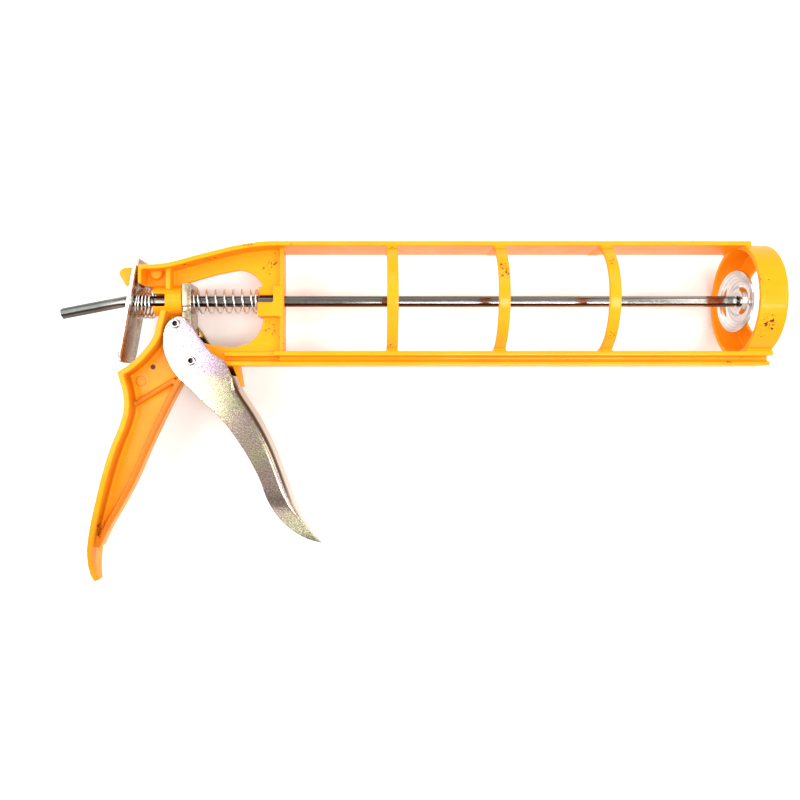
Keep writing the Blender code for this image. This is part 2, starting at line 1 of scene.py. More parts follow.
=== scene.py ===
"""The looks of a skeleton caulking gun that lies on its side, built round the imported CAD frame.

Lengths are in millimetres in the gun's own axes: X forward along the push rod, Y away from the handle and
Z up, from the point where the rod's axis meets the front of the back wall."""

import json
import math

import bmesh
import bpy
from mathutils import Matrix, Vector


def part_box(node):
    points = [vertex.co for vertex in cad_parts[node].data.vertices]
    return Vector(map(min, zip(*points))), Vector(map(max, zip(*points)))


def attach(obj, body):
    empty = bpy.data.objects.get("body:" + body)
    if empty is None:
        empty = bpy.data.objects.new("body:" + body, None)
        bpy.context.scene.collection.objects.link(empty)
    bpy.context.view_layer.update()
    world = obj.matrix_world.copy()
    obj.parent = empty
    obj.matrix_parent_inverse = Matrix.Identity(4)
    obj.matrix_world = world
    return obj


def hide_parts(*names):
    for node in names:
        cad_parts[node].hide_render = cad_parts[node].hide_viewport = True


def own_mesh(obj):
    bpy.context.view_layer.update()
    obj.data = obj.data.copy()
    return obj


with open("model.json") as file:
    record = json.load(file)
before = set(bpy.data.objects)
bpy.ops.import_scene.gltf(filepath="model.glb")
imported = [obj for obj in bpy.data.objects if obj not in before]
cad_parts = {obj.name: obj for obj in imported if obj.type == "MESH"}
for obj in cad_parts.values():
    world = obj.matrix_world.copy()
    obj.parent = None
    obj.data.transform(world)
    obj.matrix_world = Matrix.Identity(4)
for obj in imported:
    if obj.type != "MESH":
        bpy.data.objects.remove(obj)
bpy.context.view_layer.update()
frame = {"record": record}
RECORD = frame["record"]

MM = 0.001
JOINTS = {j["name"]: j for j in RECORD["behaviour"]["joints"]}
SEAT = next(m for m in RECORD["mounts"] if m["name"] == "cartridge_base_seat")
AXIS = JOINTS["piston_spin"]["pos_m"]
ORIGIN = Vector((SEAT["pos_m"][0], AXIS[1], AXIS[2]))


def local(point):
    """A point of the row frame, in metres, as millimetres in the gun's own axes."""
    return [(point[k] - ORIGIN[k]) / MM for k in range(3)]


def span(node):
    """The node's lowest and highest corners in the gun's own axes."""
    low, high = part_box(node)
    return local(low), local(high)


PIVOT = local(JOINTS["trigger_pull"]["pos_m"])[:2]
PUSHER = local(JOINTS["sleeve_roll"]["pos_m"])[:2]
HANG = local(JOINTS["release_press"]["pos_m"])[:2]
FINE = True
ROD_BEND = math.radians(11.0)


# ---------------------------------------------------------------- shapes
ROD_SIDES = 64
VOXEL_FACTOR, FACES_KEPT = (1, 0.3) if FINE else (2, 0.6)


def link(name, data):
    """Adds an object with this mesh or curve to the scene."""
    made = bpy.data.objects.new(name, data)
    bpy.context.scene.collection.objects.link(made)
    return made


def settle(thing):
    """Replaces the object and its modifiers with a plain mesh object of the same name."""
    bpy.context.view_layer.update()
    depsgraph = bpy.context.evaluated_depsgraph_get()
    mesh = bpy.data.meshes.new_from_object(thing.evaluated_get(depsgraph), depsgraph=depsgraph)
    shape = bmesh.new()
    shape.from_mesh(mesh)
    bmesh.ops.remove_doubles(shape, verts=shape.verts, dist=0.00001)
    bmesh.ops.recalc_face_normals(shape, faces=shape.faces)
    shape.to_mesh(mesh)
    shape.free()
    name = thing.name
    bpy.data.objects.remove(thing, do_unlink=True)
    return link(name, mesh)


def spline(points, closed, steps=8):
    """A flat curve. A point (x, y) is smooth and (x, y, 0) is a corner."""
    curve = bpy.data.curves.new("curve", "CURVE")
    curve.dimensions = "2D"
    curve.resolution_u = curve.render_resolution_u = steps
    line = curve.splines.new("BEZIER")
    line.bezier_points.add(len(points) - 1)
    line.use_cyclic_u = closed
    for knot, point in zip(line.bezier_points, points):
        knot.co = (point[0] * MM, point[1] * MM, 0)
        kind = "VECTOR" if len(point) == 3 else "AUTO"
        knot.handle_left_type = knot.handle_right_type = kind
    return curve


def thread(name, points):
    """An open curve of straight lines through points, whose ends are filled once it has a section."""
    curve = bpy.data.curves.new(name, "CURVE")
    curve.dimensions = "3D"
    line = curve.splines.new("POLY")
    line.points.add(len(points) - 1)
    for knot, point in zip(line.points, points):
        knot.co = (*(value * MM for value in point), 1)
    curve.use_fill_caps = True
    return curve


def plate(name, outline, z0, z1, steps=8):
    """A flat outline with straight sides between two heights."""
    curve = spline(outline, True, steps)
    curve.fill_mode = "BOTH"
    curve.extrude = (z1 - z0) / 2 * MM
    thing = settle(link(name, curve))
    thing.data.transform(Matrix.Translation((0, 0, (z0 + z1) / 2 * MM)))
    return thing


def wall(name, path, thick, half):
    """A strip of even thickness that stands on edge along a path."""
    curve = spline(path, False)
    curve.extrude = half * MM
    thing = settle(link(name, curve))
    shell = thing.modifiers.new("thickness", "SOLIDIFY")
    shell.thickness, shell.offset, shell.use_even_offset = thick * MM, 0, True
    return settle(thing)


def block(name, x0, x1, y0, y1, z0, z1):
    """A box between these faces."""
    mesh = bpy.data.meshes.new(name)
    shape = bmesh.new()
    bmesh.ops.create_cube(shape, size=1)
    size = Matrix.Diagonal(((x1 - x0) * MM, (y1 - y0) * MM, (z1 - z0) * MM, 1))
    middle = Matrix.Translation(((x0 + x1) / 2 * MM, (y0 + y1) / 2 * MM, (z0 + z1) / 2 * MM))
    shape.transform(middle @ size)
    shape.to_mesh(mesh)
    shape.free()
    return link(name, mesh)


def rod(name, centre, radius, start, end, along="X"):
    """A cylinder along X or Z. Its centre is given in the two other directions."""
    mesh = bpy.data.meshes.new(name)
    shape = bmesh.new()
    bmesh.ops.create_cone(shape, cap_ends=True, segments=ROD_SIDES, radius1=radius * MM, radius2=radius * MM,
                          depth=(end - start) * MM)
    middle = (start + end) / 2
    if along == "X":
        turn, shift = Matrix.Rotation(math.pi / 2, 4, "Y"), (middle, *centre)
    else:
        turn, shift = Matrix.Identity(4), (*centre, middle)
    shape.transform(Matrix.Translation([v * MM for v in shift]) @ turn)
    shape.to_mesh(mesh)
    shape.free()
    return link(name, mesh)


def turned(name, profile, sides=96, start=0.0, sweep=360.0):
    """A profile of (radius, x) points turned about the X axis. A full turn closes on itself."""
    mesh = bpy.data.meshes.new(name)
    shape = bmesh.new()
    knots = [shape.verts.new((r * MM, 0, x * MM)) for r, x in profile]
    for a, b in zip(knots, knots[1:] + knots[:1]):
        if a.co.x > 0 or b.co.x > 0:
            shape.edges.new((a, b))
    full = sweep == 360.0
    bmesh.ops.rotate(shape, verts=shape.verts, matrix=Matrix.Rotation(math.radians(start), 3, "Z"))
    first = list(shape.edges)
    done = bmesh.ops.spin(shape, geom=list(shape.verts) + first, cent=(0, 0, 0), axis=(0, 0, 1),
                          angle=math.radians(sweep), steps=sides, use_merge=full, use_duplicate=False)
    if not full:
        last = [g for g in done["geom_last"] if isinstance(g, bmesh.types.BMEdge)]
        bmesh.ops.contextual_create(shape, geom=first)
        bmesh.ops.contextual_create(shape, geom=last)
    bmesh.ops.remove_doubles(shape, verts=shape.verts, dist=0.000001)
    bmesh.ops.recalc_face_normals(shape, faces=shape.faces)
    shape.transform(Matrix(((0, 0, 1, 0), (1, 0, 0, 0), (0, 1, 0, 0), (0, 0, 0, 1))))
    shape.to_mesh(mesh)
    shape.free()
    return link(name, mesh)


def sliced(shape, point, normal):
    """Adds a loop of edges where a plane crosses the shape."""
    bmesh.ops.bisect_plane(shape, geom=list(shape.verts) + list(shape.edges) + list(shape.faces),
                           plane_co=[v * MM for v in point], plane_no=normal, dist=0.0000001)


def narrowed(thing, cuts, law):
    """Multiplies each point's height by a factor that depends on its y, after cutting loops at some y."""
    shape = bmesh.new()
    shape.from_mesh(thing.data)
    for y in cuts:
        sliced(shape, (0, y, 0), (0, 1, 0))
    for corner in shape.verts:
        corner.co.z *= law(corner.co.y / MM)
    shape.to_mesh(thing.data)
    shape.free()
    return thing


def combine(thing, others, operation):
    """Joins the others to a shape or cuts them from it, and removes them."""
    for other in others:
        join = thing.modifiers.new(operation, "BOOLEAN")
        join.operation, join.solver, join.object = operation, "EXACT", other
    result = settle(thing)
    for other in others:
        bpy.data.objects.remove(other, do_unlink=True)
    return result


def bevel(thing, width, segments=3, angle=40):
    """Rounds the edges sharper than an angle in degrees."""
    edge = thing.modifiers.new("edge", "BEVEL")
    edge.width, edge.segments = width * MM, segments
    edge.limit_method, edge.angle_limit = "ANGLE", math.radians(angle)
    return settle(thing)


def moulded(thing, voxel, passes):
    """Softens every edge and inside corner as moulding or pressing does."""
    grid = thing.modifiers.new("grid", "REMESH")
    grid.mode, grid.voxel_size = "VOXEL", voxel * VOXEL_FACTOR * MM
    smooth = thing.modifiers.new("smooth", "SMOOTH")
    smooth.factor, smooth.iterations = 0.5, passes
    fewer = thing.modifiers.new("fewer", "DECIMATE")
    fewer.ratio = FACES_KEPT
    return settle(thing)


def piece(name, thing, body, material, angle=35):
    """Names the shape, puts it in the row frame and makes it stand for the CAD node of that name."""
    thing.name = name + "_look"
    thing.data.transform(Matrix.Translation(ORIGIN))
    thing.data.materials.clear()
    thing.data.materials.append(material)
    thing.data.shade_smooth()
    thing.data.set_sharp_from_angle(angle=math.radians(angle))
    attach(thing, body)
    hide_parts(name)
    return thing


# ---------------------------------------------------------------- materials
class Nodes:
    """A small helper that adds and links shader nodes."""

    def __init__(self, name):
        self.material = bpy.data.materials.new(name)
        self.material.use_nodes = True
        self.tree = self.material.node_tree
        self.shader = self.tree.nodes["Principled BSDF"]
        self.place = self.add("ShaderNodeTexCoord").outputs["Object"]

    def add(self, kind, **values):
        """A new node with these settings."""
        node = self.tree.nodes.new(kind)
        for key, value in values.items():
            setattr(node, key, value)
        return node

    def feed(self, value, socket):
        """Links an output to the socket, or sets the socket to a number, colour or vector."""
        if isinstance(value, bpy.types.NodeSocket):
            self.tree.links.new(value, socket)
        else:
            socket.default_value = value

    def scaled(self, scale):
        """The place, stretched where the scale is under one."""
        node = self.add("ShaderNodeMapping")
        self.feed(self.place, node.inputs["Vector"])
        node.inputs["Scale"].default_value = scale
        return node.outputs[0]

    def noise(self, size, detail=3.0, rough=0.55, place=None, warp=0.0):
        """Noise whose features are about size millimetres across."""
        node = self.add("ShaderNodeTexNoise")
        self.feed(place or self.place, node.inputs["Vector"])
        node.inputs["Scale"].default_value = 1 / (size * MM)
        node.inputs["Detail"].default_value = detail
        node.inputs["Roughness"].default_value = rough
        node.inputs["Distortion"].default_value = warp
        return node.outputs["Fac"]

    def ramp(self, value, *stops):
        """A colour or grey for the value, mixed between stops of (value, colour)."""
        node = self.add("ShaderNodeValToRGB")
        self.feed(value, node.inputs[0])
        band = node.color_ramp
        while len(band.elements) < len(stops):
            band.elements.new(0.5)
        for element, (at, colour) in zip(band.elements, stops):
            element.position = at
            element.color = (*colour, 1) if isinstance(colour, tuple) else (colour, colour, colour, 1)
        return node.outputs[0]

    def along(self, value, *stops):
        """A ramp whose stops are given in the value's own unit."""
        first, last = stops[0][0], stops[-1][0]
        share = self.math("DIVIDE", self.math("SUBTRACT", value, first), last - first)
        return self.ramp(share, *[((at - first) / (last - first), colour) for at, colour in stops])

    def math(self, operation, a, b=0.0, clamp=False):
        """One step of arithmetic on one or two values."""
        node = self.add("ShaderNodeMath", operation=operation, use_clamp=clamp)
        self.feed(a, node.inputs[0])
        self.feed(b, node.inputs[1])
        return node.outputs[0]

    def mix(self, factor, a, b, blend="MIX"):
        """The first colour at factor zero and the second, or their product, at factor one."""
        node = self.add("ShaderNodeMix", data_type="RGBA", blend_type=blend)
        self.feed(factor, node.inputs["Factor"])
        for value, socket in ((a, node.inputs[6]), (b, node.inputs[7])):
            self.feed((*value, 1) if isinstance(value, tuple) else value, socket)
        return node.outputs[2]

    def parts(self):
        """The place's x, y and z in millimetres along the gun's own axes."""
        node = self.add("ShaderNodeSeparateXYZ")
        self.feed(self.place, node.inputs[0])
        shifted = [self.math("SUBTRACT", node.outputs[k], ORIGIN[k]) for k in range(3)]
        return [self.math("DIVIDE", value, MM) for value in shifted]

    def near(self, point, radius):
        """One at a point of the gun and zero beyond the radius, all in millimetres."""
        node = self.add("ShaderNodeVectorMath", operation="DISTANCE")
        self.feed(self.place, node.inputs[0])
        node.inputs[1].default_value = ORIGIN + Vector(point) * MM
        share = self.math("DIVIDE", node.outputs["Value"], radius * MM)
        return self.math("SUBTRACT", 1.0, share, clamp=True)

    def bump(self, height, depth, strength):
        """Feeds the shader a rough surface whose relief is depth millimetres."""
        node = self.add("ShaderNodeBump")
        self.feed(height, node.inputs["Height"])
        node.inputs["Distance"].default_value = depth * MM
        node.inputs["Strength"].default_value = strength
        self.feed(node.outputs[0], self.shader.inputs["Normal"])

    def finish(self, colour, roughness, metallic=0.0):
        """Feeds the shader and gives the material."""
        self.feed(colour, self.shader.inputs["Base Color"])
        self.feed(roughness, self.shader.inputs["Roughness"])
        self.shader.inputs["Metallic"].default_value = metallic
        return self.material


# Where specks of dirt crowd: a point of the frame and a reach.
SCUFFS = [
    ((-37, 22, 8), 7), ((-49, 18, 8), 6), ((-7, 19, 2), 8), ((-7, -15, 2), 8), ((-16, 26, 13), 5),
    ((1, 27, 13), 8), ((54, -22, 14), 7), ((54, 24, 12), 5), ((107, 12, 24), 9), ((107, -20, 17), 6),
    ((159, -18, 20), 7), ((159, 16, 22), 6), ((234, -14, 24), 10), ((229, 8, 26), 6), ((222, -32, 6), 6),
    ((240, -32, 6), 4), ((-92, -114, 6), 8), ((-62, -28, 8), 4)]
EJECTOR_MARK, EJECTOR_RADIUS = (-72.7, -40.4, 1.5), 2.5
PIN_HOLE, PIN_HOLE_REACH = (-66.6, -33.3, 1.5), 2.2
# Painted shade inside the handle's hollow: a point of the frame and a reach for each patch.
HANDLE_SHADE_AREAS = [((-74, -66, 6), 62), ((-88, -106, 6), 44)]
ORANGE_DEEP, ORANGE_PALE, ORANGE_STREAK = (0.90, 0.25, 0.0035), (0.94, 0.29, 0.005), (0.95, 0.33, 0.012)
# The colour of the painted shade inside the handle, and the colour of the dirt.
ORANGE_PAINTED_SHADE, DIRT = (0.36, 0.075, 0.001), (0.05, 0.018, 0.010)
ORANGE_SPECULAR, ORANGE_COAT, ORANGE_COAT_ROUGHNESS = 0.04, 0.22, 0.14


def orange_plastic():
    """Glossy moulded plastic with painted shade low on the handle's inner walls, specks of dirt and an
    ejector-pin mark.
    """
    n = Nodes("orange_plastic")
    colour = n.mix(n.ramp(n.noise(28, 3), (0.3, 0.0), (0.7, 1.0)), ORANGE_DEEP, ORANGE_PALE)
    streak = n.noise(5, 2, place=n.scaled((0.25, 1.4, 1.0)))
    colour = n.mix(n.ramp(streak, (0.35, 0.0), (0.75, 0.28)), colour, ORANGE_STREAK)
    marks = 0.0
    for point, radius in SCUFFS:
        marks = n.math("MAXIMUM", marks, n.near(point, radius))
    specks = n.noise(1.9, 4, 0.65, warp=0.8)
    dirt = n.ramp(n.math("ADD", specks, n.math("MULTIPLY", marks, 0.19)), (0.69, 0.0), (0.72, 0.97))
    ring = n.near(EJECTOR_MARK, EJECTOR_RADIUS * 2)
    ring = n.ramp(ring, (0.44, 0.0), (0.48, 0.6), (0.52, 0.6), (0.56, 0.0))
    dirt = n.math("MAXIMUM", dirt, ring)
    dirt = n.math("MAXIMUM", dirt, n.ramp(n.near(PIN_HOLE, PIN_HOLE_REACH), (0.3, 0.0), (0.5, 1.0)))
    z = n.parts()[2]
    # Painted shade in the handle's hollow: darkest low on the walls just above the web, fading to nothing at
    # their tops.
    wall_shade = n.along(n.math("ADD", z, n.noise(7, 2)), (1.6, 0.0), (4.16, 0.75), (8.0, 0.6), (14.4, 0.0))
    hollow = n.math("MAXIMUM", *[n.near(point, radius) for point, radius in HANDLE_SHADE_AREAS])
    hollow = n.math("MULTIPLY", n.ramp(hollow, (0.0, 0.0), (0.55, 1.0)), wall_shade)
    colour = n.mix(hollow, colour, ORANGE_PAINTED_SHADE)
    colour = n.mix(dirt, colour, DIRT)
    rough = n.ramp(n.noise(9, 4), (0.3, 0.34), (0.7, 0.48))
    rough = n.math("ADD", rough, n.math("MULTIPLY", dirt, 0.25), clamp=True)
    n.bump(n.math("ADD", n.noise(0.7, 2), n.math("MULTIPLY", n.noise(9, 2), 2.0)), 0.03, 0.5)
    n.shader.inputs["Specular IOR Level"].default_value = ORANGE_SPECULAR
    n.shader.inputs["Coat Weight"].default_value = ORANGE_COAT
    n.shader.inputs["Coat Roughness"].default_value = ORANGE_COAT_ROUGHNESS
    return n.finish(colour, rough)


def bright_steel():
    """Plain zinc-plated steel with dull spots."""
    n = Nodes("bright_steel")
    patches = n.ramp(n.noise(3.2, 4, 0.6), (0.35, 0.0), (0.68, 1.0))
    colour = n.mix(patches, (0.72, 0.71, 0.68), (0.56, 0.55, 0.52))
    spots = n.ramp(n.noise(0.8, 2), (0.66, 0.0), (0.74, 0.7))
    colour = n.mix(spots, colour, (0.30, 0.26, 0.23))
    sheen = n.ramp(n.noise(1.1, 3), (0.3, 0.18), (0.7, 0.32))
    n.bump(n.math("ADD", n.noise(0.35, 2), n.noise(2.5, 2)), 0.012, 0.5)
    return n.finish(colour, sheen, 1.0)


def chrome(name):
    """The nodes, colour and roughness that the rod's and the disc's chrome start from."""
    n = Nodes(name)
    dull = n.noise(6, 4, 0.6, place=n.scaled((0.2, 1, 1)))
    colour = n.mix(n.ramp(dull, (0.4, 0.0), (0.7, 1.0)), (0.62, 0.62, 0.62), (0.48, 0.47, 0.45))
    sheen = n.ramp(n.noise(1.6, 3), (0.3, 0.09), (0.75, 0.24))
    return n, colour, sheen


def disc_chrome():
    """Pressed chrome with fine turning rings about the rod's axis."""
    n, colour, sheen = chrome("disc_chrome")
    _, y, z = n.parts()
    radius = n.math("SQRT", n.math("ADD", n.math("MULTIPLY", y, y), n.math("MULTIPLY", z, z)))
    rings = n.math("SINE", n.math("MULTIPLY", radius, 4.2))
    colour = n.mix(n.ramp(rings, (0.0, 0.2), (1.0, 0.75)), colour, (0.76, 0.80, 0.83))
    n.bump(n.math("ADD", rings, n.noise(3, 2)), 0.02, 0.5)
    return n.finish(colour, sheen, 1.0)


# Where the painted shade and reflection that run along the rod turn with its tail.
PAINTED_SHADE_BEND_X = -84.0


def rod_chrome():
    """Chrome bar with painted shade along its handle-side edge, a painted dimmer reflection on its far side,
    a darker rear part, and a rougher tail painted darker to dim its reflection.
    """
    n, colour, sheen = chrome("rod_chrome")
    x, y, _ = n.parts()
    behind = n.math("MINIMUM", n.math("SUBTRACT", x, PAINTED_SHADE_BEND_X), 0.0)
    bend = n.math("MULTIPLY", behind, math.tan(ROD_BEND))
    across = n.math("ADD", n.math("SUBTRACT", y, bend), n.math("MULTIPLY", n.noise(7, 3), 0.5))
    # Painted shade and reflection across the rod: a dark band along its handle-side edge and a darker far
    # side.
    # From the rod's handle side, in millimetres, to its far side.
    tone = n.along(across, (-2.18, (0.62, 0.52, 0.44)), (-1.66, (0.16, 0.11, 0.09)),
                   (-1.15, (0.10, 0.08, 0.07)), (-0.83, (0.66, 0.65, 0.63)), (1.15, (0.56, 0.56, 0.55)),
                   (1.54, (0.36, 0.35, 0.33)), (2.18, (0.30, 0.29, 0.28)))
    colour = n.mix(1.0, colour, tone, "MULTIPLY")
    # Painted dimmer reflection: the tail is darkened, and below it is also made rougher.
    tail = n.along(x, (-94.0, 1.0), (-84.0, 0.0))
    colour = n.mix(tail, colour, (0.55, 0.57, 0.59), "MULTIPLY")
    rear = n.along(n.math("ADD", x, n.math("MULTIPLY", n.noise(20, 2), 20.0)), (120.0, 1.0), (192.0, 0.0))
    colour = n.mix(rear, colour, (0.50, 0.49, 0.47), "MULTIPLY")
    sheen = n.math("ADD", sheen, n.math("MULTIPLY", tail, 0.22))
    n.bump(n.noise(4, 2, place=n.scaled((0.3, 1, 1))), 0.02, 0.35)
    return n.finish(colour, sheen, 1.0)


def spring_wire():
    """Bright drawn wire with a trace of straw."""
    n = Nodes("spring_wire")
    colour = n.ramp(n.noise(1.5, 3), (0.3, (0.84, 0.85, 0.84)), (0.6, (0.58, 0.57, 0.54)),
                    (0.8, (0.72, 0.66, 0.54)))
    sheen = n.ramp(n.noise(0.9, 2), (0.3, 0.14), (0.7, 0.30))
    n.bump(n.noise(0.4, 2), 0.01, 0.4)
    return n.finish(colour, sheen, 1.0)


# Patches of one film colour on the trigger: a point, a reach and the colour.
BLOOM = [
    ((-39, -24, 11), 18, (0.50, 0.37, 0.60)), ((-37, -49, 11), 13, (0.62, 0.56, 0.34)),
    ((-21, -66, 11), 16, (0.36, 0.25, 0.20)), ((-6, -92, 11), 19, (0.32, 0.185, 0.165)),
    ((5, -113, 8), 13, (0.30, 0.29, 0.15)), ((14, -127, 5), 14, (0.20, 0.19, 0.10))]
# Fine pale scratches on the trigger that run as arcs round a point.
ARC_CENTRE, ARC_REACH, ARC_COUNT = (-30, -96, 11), 120, 62.0


def zinc_bloom():
    """Yellow-passivated zinc, whose film shifts between silver, mauve, straw and green over the surface.

    It is golden on the blade's front, with painted shade along the rolled corner beside it."""
    n = Nodes("zinc_bloom")
    coarse, fine = n.math("MULTIPLY", n.noise(17, 2), 0.60), n.math("MULTIPLY", n.noise(2.2, 4, 0.75), 0.48)
    film = n.ramp(n.math("ADD", coarse, fine), (0.36, (0.46, 0.40, 0.30)), (0.46, (0.38, 0.25, 0.27)),
                  (0.53, (0.40, 0.26, 0.22)), (0.58, (0.52, 0.46, 0.24)), (0.64, (0.34, 0.35, 0.18)),
                  (0.72, (0.46, 0.38, 0.30)))
    for centre, radius, tone in BLOOM:
        film = n.mix(n.ramp(n.near(centre, radius), (0.0, 0.0), (0.7, 0.85)), film, tone)
    grain = n.noise(0.6, 4, 0.7)
    colour = n.mix(n.ramp(grain, (0.50, 0.0), (0.60, 0.6)), film, (0.74, 0.70, 0.64))

    arcs = n.math("MULTIPLY", n.near(ARC_CENTRE, ARC_REACH), ARC_COUNT)
    arcs = n.math("ADD", arcs, n.math("MULTIPLY", n.noise(11, 2), 5.0))
    arcs = n.ramp(n.math("FRACT", arcs), (0.0, 1.0), (0.07, 0.0), (0.93, 0.0), (1.0, 1.0))
    arcs = n.math("MULTIPLY", arcs, n.ramp(n.noise(5, 3), (0.52, 0.0), (0.62, 0.8)))
    colour = n.mix(arcs, colour, (0.74, 0.72, 0.68))
    dull = n.ramp(n.noise(0.8, 3, 0.7), (0.53, 0.0), (0.62, 0.85))
    colour = n.mix(dull, colour, (0.17, 0.13, 0.12))

    _, y, z = n.parts()
    upper = n.along(y, (-109.2, 0.0), (-92.4, 1.0))
    spine = n.along(z, (8.16, 0.75), (8.64, 0.0))
    edge = n.along(z, (7.92, 0.0), (8.64, 0.9), (10.32, 0.9), (10.8, 0.0))
    colour = n.mix(n.math("MULTIPLY", spine, upper), colour, (0.44, 0.25, 0.06))
    # Painted shade along the blade's rolled corner.
    colour = n.mix(n.math("MULTIPLY", edge, upper), colour, (0.10, 0.08, 0.07))
    sheen = n.ramp(n.noise(0.8, 3), (0.3, 0.10), (0.7, 0.20))
    n.bump(n.math("ADD", n.noise(0.55, 3), n.noise(3.5, 2)), 0.018, 0.6)
    return n.finish(colour, sheen, 1.0)


def plate_steel():
    """Zinc-plated sheet with a thin straw film, speckled where it is worn, with bright bare steel on its cut
    edge and a painted highlight along its near side.
    """
    n = Nodes("plate_steel")
    colour = n.ramp(n.noise(5, 3, 0.6), (0.34, (0.44, 0.40, 0.30)), (0.52, (0.36, 0.28, 0.19)),
                    (0.68, (0.40, 0.29, 0.24)))
    worn = n.ramp(n.noise(0.7, 3, 0.7), (0.56, 0.0), (0.68, 0.85))
    colour = n.mix(worn, colour, (0.20, 0.15, 0.12))
    # Bright bare steel on the near cut edge, and a painted highlight over the strip of face beside it.
    cut_edge_and_highlight = n.along(n.parts()[2], (10.32, 0.0), (10.8, 0.9))
    colour = n.mix(cut_edge_and_highlight, colour, (0.93, 0.93, 0.92))
    sheen = n.ramp(n.noise(0.9, 3), (0.3, 0.18), (0.7, 0.34))
    n.bump(n.math("ADD", n.noise(0.4, 2), n.noise(2.5, 2)), 0.015, 0.5)
    return n.finish(colour, sheen, 1.0)


def floor_white():
    """Matt white paper."""
    n = Nodes("floor_white")
    colour = n.ramp(n.noise(90, 2), (0.3, (0.79, 0.79, 0.775)), (0.7, (0.81, 0.81, 0.795)))
    return n.finish(colour, 0.8)


ORANGE = orange_plastic()
STEEL = bright_steel()
CHROME = rod_chrome()
DISC = disc_chrome()
WIRE = spring_wire()
ZINC = zinc_bloom()
PLATE = plate_steel()

# ---------------------------------------------------------------- frame
FLANGE_HALF = 13.2
# THROUGH reaches past every side. OVERLAP is how far a shape runs into the next one it joins.
THROUGH, OVERLAP = 15.0, 0.5
ROD_BORE, ROD_BORE_SPAN = 3.2, (-68, 3)
PIVOT_BORE = 2.15
RAIL_IN, RAIL_OUT = 25.9, 28.2
RAIL_FRONT = 230.6
LOWER_RAIL_REAR, LOWER_RAIL_RISE, LOWER_RAIL_FRONT = -30.0, -4.2, 241.2
LOWER_RAIL_LOW = 5.5
BEAM_Y = (-32.8, -30.7)
BEAM_HALF = 8.0
BEAM_REAR, BEAM_FRONT = -31.0, 242.2
BEAM_CORE_FRONT, BEAM_CORE_HALF = 241.6, 6.2
BEAM_WEB_HALF = 1.3
HOOP_IN, HOOP_OUT = 25.75, 28.0
HOOP_X = (54.0, 107.0, 159.5)
HOOP_WIDTH = 5.5
HOOP_REACH = 104
STRAP_IN, STRAP_FAR = 25.4, -12.8
RING_REAR, RING_FRONT = 228.0, 241.6
RING_CHAMFER = 0.8
LIP_THICK, LIP_IN = 2.0, 16.6
WALL_THICK, WALL_HALF, WALL_REACH = 2.1, 5.5, 27.2

# An outline or path lists (x, y), and a third value marks a corner. A box lists its limits in x, y and z.
WEB_HALF = 1.5
TOP_THICK = 2.3
TOP_FLANGE = [
    (RAIL_FRONT, 27.05, 0), (-1.5, 27.05, 0), (-9.5, 26.8), (-21, 25.2), (-41, 20.4), (-59, 16.0),
    (-70.6, 15.5, 0)]
FRONT_FLANGE = [
    (-50.5, -36.5, 0), (-55.3, -45.0), (-62.1, -58.5), (-69.0, -73.2), (-76.9, -91.2), (-83.3, -103.3),
    (-89.6, -114.5), (-94.0, -123.8, 0)]
REAR_FLANGE = [
    (-58.4, -5.5, 0), (-60.4, -13.0), (-61.9, -19.0), (-67.3, -26.7), (-74.4, -33.6), (-79.6, -37.0, 0),
    (-77.0, -46.5), (-76.7, -55.0), (-78.4, -62.0), (-83.0, -73.5), (-87.5, -87.7), (-91.1, -101.4),
    (-94.2, -113.8), (-95.8, -121.8), (-96.4, -128.5), (-96.2, -134.5), (-95.4, -139.0), (-94.6, -141.2, 0)]
HANDLE_THICK = 2.8
FRONT_HALF = 5.0
TONGUE_TOP, TONGUE_LENGTH, TONGUE_POWER, TONGUE_LOSS = -80.0, 62.2, 1.8, 0.98
TONGUE_CUTS = (-80, -95, -107, -117, -124, -129, -133, -136, -138.5, -140.2)
HOUSING = [
    (-70.6, 15.5, 0), (-59, 16.0, 0), (-41, 20.4, 0), (-21, 25.2, 0), (-9.5, 26.8, 0), (-1, 27.0, 0),
    (-1, -32.2, 0), (-31, -32.2, 0), (-40, -36.5, 0), (-49.6, -36.5, 0), (-55.3, -45.0, 0),
    (-62.1, -58.5, 0), (-69.0, -73.2, 0), (-76.9, -91.2, 0), (-83.3, -103.3, 0), (-89.6, -114.5, 0),
    (-94.0, -123.8, 0), (-95.6, -121.8, 0), (-94.2, -113.8, 0), (-91.1, -101.4, 0), (-87.5, -87.7, 0),
    (-83.0, -73.5, 0), (-78.4, -62.0, 0), (-76.8, -52.0, 0), (-78.3, -42.5, 0), (-79.4, -37.0, 0),
    (-74.3, -33.8, 0), (-67.4, -26.8, 0), (-61.8, -18.2, 0), (-59.6, -8.0, 0), (-59.0, 0.0, 0),
    (-60.0, 7.3, 0), (-70.4, 7.3, 0)]
WINDOW = [
    (-50.6, 8.8, 0), (-27.7, 14.8), (-20.6, 15.4), (-12.9, 10.4), (-10.4, 1.0), (-10.6, -8.0),
    (-14.6, -18.0), (-22.5, -22.7), (-35.0, -22.7, 0), (-42.0, -20.8, 0), (-52.0, -20.8),
    (-58.6, -16.5), (-57.6, -9.0, 0), (-50.6, -7.0, 0)]
BRACE = [(-77.2, -53.4, 0), (-54.6, -39.6, 0)]
BRACE_THICK, BRACE_HALF = 2.4, 4.6
STOP_LUG = [(-26.3, -32.6, 0), (-22.7, -32.6, 0), (-20.9, -43.6, 0), (-21.7, -43.6, 0)]
STOP_HALF = 4.0
HOOK = [
    (-69.8, 16.2, 0), (-77.5, 16.8), (-82.0, 15.9), (-83.2, 14.0), (-81.6, 10.6), (-79.7, 7.6),
    (-77.5, 6.6, 0), (-76.3, 11.9, 0), (-69.8, 11.9, 0)]
HOOK_HALF = 3.5
REAR_WALL = (-71.1, -69.3, 7.3, 15.8)
